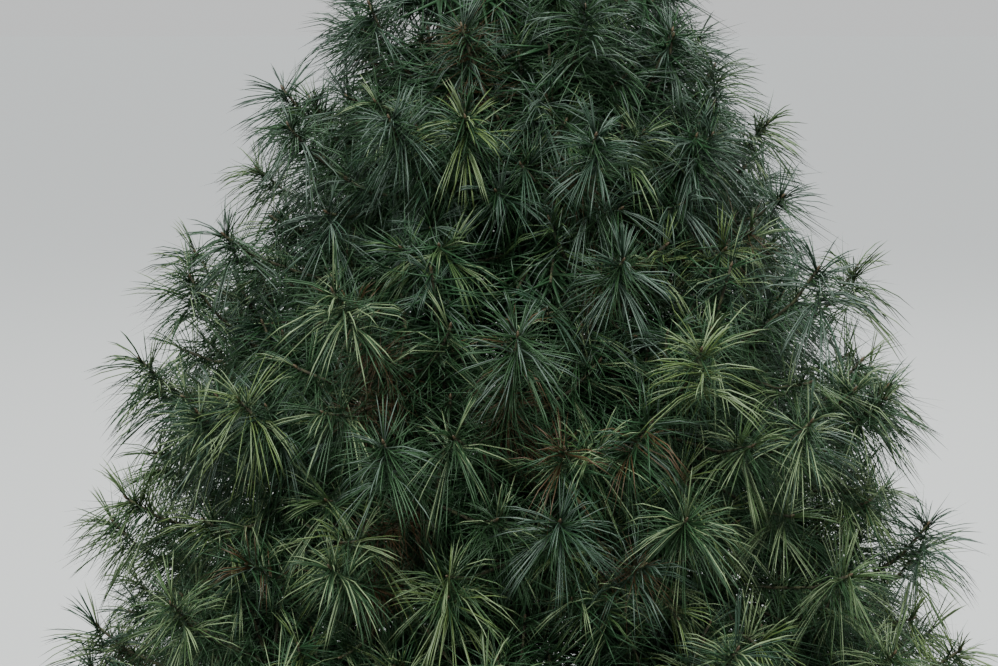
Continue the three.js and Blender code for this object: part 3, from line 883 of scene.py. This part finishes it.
SLEEVE_NEEDLE_RADIUS = 0.0013
SLEEVE_TILTS = (35, 80)
INNER_NEEDLES_APART = 0.0032
INNER_NEEDLE_RADIUS = 0.0030
CORE_NEEDLES_APART = 0.0016
CORE_SHARES = (0.05, 0.15, 0.25, 0.35)
CORE_TILTS = {"rust": (40, 110), "shaded_green": (60, 110)}
RUSTY_TWIG_NEEDLES_APART = 0.0016
RUSTY_NEEDLES_APART = 0.001
RUSTY_NEEDLE_LENGTH = 0.075
RUSTY_NEEDLE_RADIUS = 0.0008
RUSTY_TILTS = (40, 100)
RUSTY_TWIGS = 0.07
RUSTY_SHARE = 0.5
RUSTY_PLACES = [(0.130, -0.52, 1.165), (0.100, -0.56, 1.090), (-0.190, -0.50, 1.180), (-0.290, -0.56, 0.960),
                (0.065, -0.42, 1.330), (0.34, 0.38, 1.10), (-0.56, 0.2, 0.72)]
RUSTY_SLEEVES = 2
NEEDLE_OVERHANG = 0.09
PROUD = 0.024
LOWEST_NEEDLE = 0.07
PIECE_LIMIT = 195000
TINTS = {
    "deep_green": linear(50, 81, 48),
    "blue_green": linear(50, 77, 57),
    "leaf_green": linear(76, 103, 59),
    "yellow_green": linear(98, 120, 66),
    # The two palest tints are partly the needles' own silvery bloom and partly painted wet sheen: lighter
    # base colours that stand in for the sky's glint on rain-wet needles.
    "silver_sheen_green": linear(128, 147, 105),
    "frosted_sheen_green": linear(92, 110, 96),
    "shaded_green": linear(48, 82, 50),
    "rust": linear(90, 69, 44),
}
LOW_TINTS = (("deep_green", 0.36), ("blue_green", 0.46), ("leaf_green", 0.84))
HIGH_TINTS = (("deep_green", 0.32), ("blue_green", 0.90), ("leaf_green", 0.98))
SILVER_SHEEN_SHARE = 0.4
SHADED_FINE_SHARE = 0.4
SHADED_INNER_SHARE = 0.5
COOL_FROM = 0.8
COOL_RISE = 0.75
PATCH_SCALE = 18
PATCH_DARKNESS = 0.72
random = np.random.default_rng(7)


def in_space(tier, points):
    """Which points lie between the seams of a tier, or hang just past them."""
    x = points[:, 0] - LEAN * points[:, 2]
    r = np.hypot(x, points[:, 1])
    bearing = np.arctan2(points[:, 1], x)
    inside = points[:, 2] > np.maximum(seam(tier, r, bearing) - NEEDLE_OVERHANG, LOWEST_NEEDLE)
    inside &= np.all((points > np.array(cad_low) - PROUD) & (points < np.array(cad_high) + PROUD), axis=1)
    if tier < len(TIERS):
        inside &= points[:, 2] < seam(tier + 1, r, bearing) + NEEDLE_OVERHANG
    return inside


def depth_of(shoot):
    """How far inside the crown's surface a shoot ends."""
    tip = shoot["tip"]
    x, z = tip.x - LEAN * tip.z, tip.z
    r = math.hypot(x, tip.y)
    if shoot["tier"] == len(TIERS):
        return LEADER["wide"] - r
    t = TIERS[shoot["tier"]]
    head = seam(shoot["tier"] + 1, t["narrow"], math.atan2(tip.y, x))
    share = min(max((z - t["foot"]) / (head - t["foot"]), 0), 1)
    return lerp(t["wide"], t["narrow"], share) - r


def varied_way(shoot):
    """A shoot's direction, turned a little by chance."""
    way = np.array(shoot["way"]) + random.normal(0, TUFT_WAY_VARIES, 3)
    return way / np.linalg.norm(way)


def fine_needles(shoot, way):
    """Single thin needles between the locks of a tuft, as straight lines of two points."""
    flat, other = frame_round(way[None])
    turn = random.uniform(0, 2 * np.pi, FINE_NEEDLES)[:, None]
    tilt = np.radians(random.uniform(*FINE_TILTS, FINE_NEEDLES))[:, None]
    ways = way * np.cos(tilt) + (flat * np.cos(turn) + other * np.sin(turn)) * np.sin(tilt)
    back = shoot["size"] * NEEDLED_LENGTH * random.uniform(*FINE_ROOTS, FINE_NEEDLES)[:, None]
    roots = np.array(shoot["tip"]) - way * back
    length = shoot["size"] * NEEDLE_LENGTH * random.uniform(*FINE_LENGTHS, FINE_NEEDLES)
    ends = roots + ways * length[:, None]
    ends[:, 2] -= length * random.uniform(*FINE_FALLS, FINE_NEEDLES)
    return np.stack([roots, ends], axis=1)[in_space(shoot["tier"], ends)]


def tuft(shoot, way):
    """The needles of one shoot, as lines of points. Wet needles cling together in locks."""
    depth = depth_of(shoot)
    count = NEEDLES[shoot["kind"]]
    if depth > SURFACE_DEPTH:
        count = INNER_NEEDLES if depth > INNER_DEPTH else int(count * BEHIND_SHARE)
    steps = NEEDLE_STEPS[3 if depth > SURFACE_DEPTH or shoot["kind"] == "fill" else 4]
    flat, other = frame_round(way[None])
    size = shoot["size"] * (1 + random.uniform(-TUFT_SIZE_VARIES, TUFT_SIZE_VARIES))
    locks = count // NEEDLES_IN_LOCK
    lock = np.arange(count) % locks
    share = (lock + 0.5) / locks
    tilt = np.interp(share, *TUFT_TILTS) + random.normal(0, LOCK_TILT_VARIES, locks)[lock]
    tilt = np.radians(tilt + random.normal(0, TILT_VARIES, count))
    turn = GOLDEN_TURN * lock + random.uniform(0, 2 * np.pi) + random.normal(0, LOCK_TURN_VARIES, locks)[lock]
    turn += random.normal(0, TURN_VARIES, count)
    out = flat * np.cos(turn)[:, None] + other * np.sin(turn)[:, None]
    ways = way * np.cos(tilt)[:, None] + out * np.sin(tilt)[:, None]
    back = size * NEEDLED_LENGTH * (1 - share + random.uniform(-ROOT_VARIES, ROOT_VARIES, count))
    roots = np.array(shoot["tip"]) - way * back[:, None]
    length = size * NEEDLE_LENGTH * random.uniform(SHORTEST, 1, count) * np.interp(share, *TUFT_LENGTHS)
    limp = random.uniform(*LIMPNESS, locks)[lock] + random.normal(0, LIMPNESS_VARIES, count)
    level = np.sqrt(1 - ways[:, 2] ** 2)
    fall = limp * lerp(STEEP_FALL, 1, level) * np.interp(share, *TUFT_FALLS)
    lines = roots[:, None] + ways[:, None] * length[:, None, None] * steps[None, :, None]
    lines[:, :, 2] -= (length * fall)[:, None] * steps**FALL_POWER
    return lines[in_space(shoot["tier"], lines[:, -1])]


def brush(line, tier, apart, reach, tilts):
    """Old needles along a twig, all round it, as straight lines of two points."""
    line = np.array([tuple(p) for p in line])
    gone = np.concatenate([[0], np.cumsum(np.linalg.norm(np.diff(line, axis=0), axis=1))])
    count = int(gone[-1] / apart)
    at = random.uniform(BRUSH_FROM, 1, count) * gone[-1]
    roots = np.stack([np.interp(at, gone, line[:, k]) for k in range(3)], axis=1)
    along = np.stack([np.interp(at, gone, np.gradient(line[:, k], gone)) for k in range(3)], axis=1)
    along /= np.linalg.norm(along, axis=1, keepdims=True)
    flat, other = frame_round(along)
    turn = random.uniform(0, 2 * np.pi, count)[:, None]
    tilt = np.radians(random.uniform(*tilts, count))[:, None]
    ways = along * np.cos(tilt) + (flat * np.cos(turn) + other * np.sin(turn)) * np.sin(tilt)
    ends = roots + ways * reach * random.uniform(*BRUSH_LENGTHS, count)[:, None]
    ends[:, 2] -= reach * random.uniform(*BRUSH_FALLS, count)
    return np.stack([roots, ends], axis=1)[in_space(tier, ends)]


def tint_of(shoot, shares):
    """A tuft's own green, by chance from a list of tints and the share up to which each goes."""
    luck = chance(shoot["key"], shoot["number"], 3)
    for name, upto in shares:
        if luck < upto:
            return name
    return "yellow_green"


def shaded_or_deep(shoot, key, share):
    """The darker tint or the deep green for a shoot's hidden needles, by chance."""
    return "shaded_green" if chance(shoot["key"], shoot["number"], key) < share else "deep_green"


def needle_material(name, color):
    """A tint in two close tones, in soft patches a few centimetres wide."""
    shader = Shader(name)
    where = shader.place()
    patch = shader.node("TexNoise", inputs={"Vector": where, "Scale": PATCH_SCALE, "Detail": 2})
    darker = tuple(c * PATCH_DARKNESS for c in color)
    tone = shader.node("ValToRGB", {"stops": [(0.35, darker), (0.65, color)]}, {0: patch})
    return shader.finish(Base_Color=tone, Roughness=0.45, Specular_IOR_Level=0.5)


hidden_tufts = [i for i, shoot in enumerate(shoots) if shoot["kind"] == "fill"]
rusty_sleeves = set()
rusty_tufts = set()
for place in RUSTY_PLACES:
    nearest = sorted(range(len(sleeves)), key=lambda i: (sleeves[i][0][2] - Vector(place)).length)
    rusty_sleeves |= set(nearest[:RUSTY_SLEEVES])
    rusty_tufts.add(min(hidden_tufts, key=lambda i: (shoots[i]["tip"] - Vector(place)).length))

needles = {name: [] for name in TINTS}
for number, shoot in enumerate(shoots):
    way = varied_way(shoot)
    depth = depth_of(shoot)
    lines = tuft(shoot, way)
    if number in rusty_tufts:
        old = random.random(len(lines)) < RUSTY_SHARE
        needles["rust"].append((lines[old], NEEDLE_RADIUS))
        lines = lines[~old]
    if depth < SURFACE_DEPTH:
        name = shaded_or_deep(shoot, 6, SHADED_FINE_SHARE)
        needles[name].append((fine_needles(shoot, way), FINE_NEEDLE_RADIUS))
    if depth > INNER_DEPTH:
        needles[shaded_or_deep(shoot, 5, SHADED_INNER_SHARE)].append((lines, NEEDLE_RADIUS))
    else:
        # A share of the needles of each tuft near the surface takes one of the two palest tints. These are
        # partly the needles' own bloom and partly painted wet sheen. High in the crown the cooler, darker one
        # is more likely, by a chance that grows with height.
        silver = random.random(len(lines)) < SILVER_SHEEN_SHARE
        radius = NEEDLE_RADIUS * random.uniform(*TUFT_RADII)
        cool = chance(shoot["key"], shoot["number"], 7) < (shoot["tip"].z - COOL_FROM) / COOL_RISE
        needles["frosted_sheen_green" if cool else "silver_sheen_green"].append((lines[silver], radius))
        needles[tint_of(shoot, HIGH_TINTS if cool else LOW_TINTS)].append((lines[~silver], radius))
for number, (line, tier) in enumerate(brushes):
    if chance(number, tier, 8) < RUSTY_TWIGS:
        lines = brush(line, tier, RUSTY_TWIG_NEEDLES_APART, SLEEVE_NEEDLE_LENGTH, OLD_TILTS)
        needles["rust"].append((lines, RUSTY_NEEDLE_RADIUS))
    else:
        lines = brush(line, tier, OLD_NEEDLES_APART, OLD_NEEDLE_LENGTH, OLD_TILTS)
        needles["shaded_green"].append((lines, OLD_NEEDLE_RADIUS))
for number, (line, tier, apart) in enumerate(sleeves):
    lines = brush(line, tier, apart, SLEEVE_NEEDLE_LENGTH, SLEEVE_TILTS)
    needles["deep_green"].append((lines, SLEEVE_NEEDLE_RADIUS))
    if number in rusty_sleeves:
        lines = brush(line[:3], tier, RUSTY_NEEDLES_APART, RUSTY_NEEDLE_LENGTH, RUSTY_TILTS)
        needles["rust"].append((lines, RUSTY_NEEDLE_RADIUS))
for line, tier in inner_brushes:
    lines = brush(line, tier, INNER_NEEDLES_APART, OLD_NEEDLE_LENGTH, OLD_TILTS)
    needles["shaded_green"].append((lines, INNER_NEEDLE_RADIUS))
for limb in limbs:
    line = [limb.point(t) for t in CORE_SHARES]
    for name, tilts in CORE_TILTS.items():
        lines = brush(line, limb.tier, CORE_NEEDLES_APART, OLD_NEEDLE_LENGTH, tilts)
        needles[name].append((lines, INNER_NEEDLE_RADIUS))

for name, color in TINTS.items():
    material = needle_material(name + "_needles", color)
    parts = []
    for lines, radius in needles[name]:
        radii = np.interp(NEEDLE_STEPS[lines.shape[1]], *NEEDLE_OUTLINE) * radius
        parts.append(tubes(lines, np.broadcast_to(radii, lines.shape[:2]), NEEDLE_SIDES, tipped=True))
    number = 0
    while parts:
        piece = [parts.pop(0)]
        size = len(piece[0][1])
        while parts and size + len(parts[0][1]) < PIECE_LIMIT:
            size += len(parts[0][1])
            piece.append(parts.pop(0))
        number += 1
        made = joined(f"{name}_needles_{number}", piece, material)
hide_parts(*[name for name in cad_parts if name.startswith("foliage_")])
